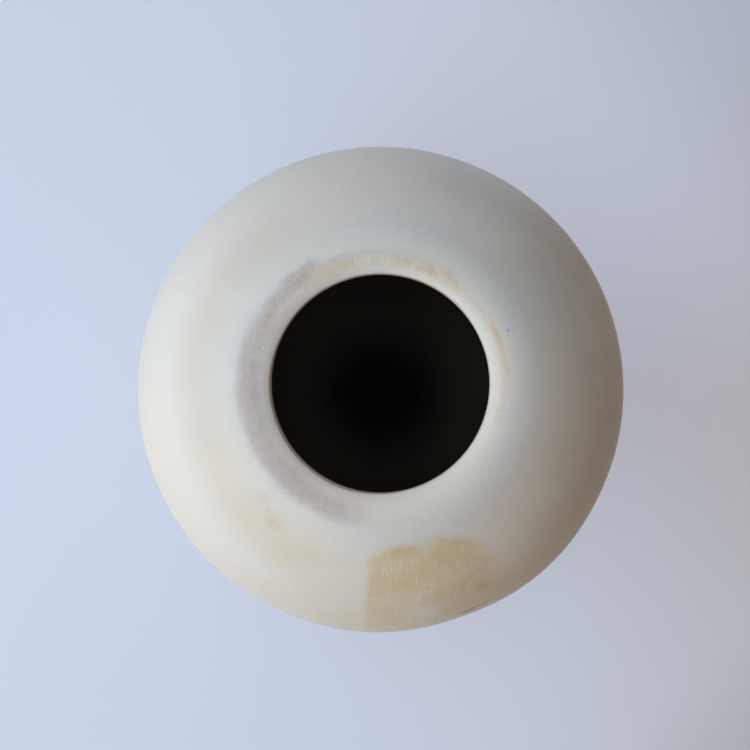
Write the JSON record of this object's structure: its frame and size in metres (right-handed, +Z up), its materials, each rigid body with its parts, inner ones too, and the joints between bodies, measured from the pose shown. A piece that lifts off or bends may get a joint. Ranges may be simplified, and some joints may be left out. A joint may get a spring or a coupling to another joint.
{
  "type": "moon jar",
  "caption": "Large round white porcelain storage jar with a wide dark mouth, a rolled rim and a narrow foot ring, luted together from two thrown bowls.",
  "frame": {"origin": "centre of the foot ring's standing face, on the surface that the jar stands on", "axes": "+Z up along the jar's axis, through the mouth; +X and +Y are free, because the jar is turned, and the picture's right and top are +X and +Y"},
  "size_m": [0.4418, 0.4418, 0.4248],
  "materials": {
    "white_glaze": "satin off-white glaze with ochre and mauve stains",
    "joining_slip": "fired porcelain slip",
    "bare_foot_clay": "unglazed on the standing edge, warm from the kiln",
    "dark_lining": "matt near-black coat"
  },
  "bodies": {
    "root": {"foot_ring": "bare_foot_clay", "foot_slip": "joining_slip", "lower_bowl": "white_glaze", "belly_slip": "white_glaze", "seam_coil": "joining_slip", "upper_bowl": "white_glaze", "rim_slip": "joining_slip", "mouth_rim": "white_glaze"}
  },
  "joints": []
}
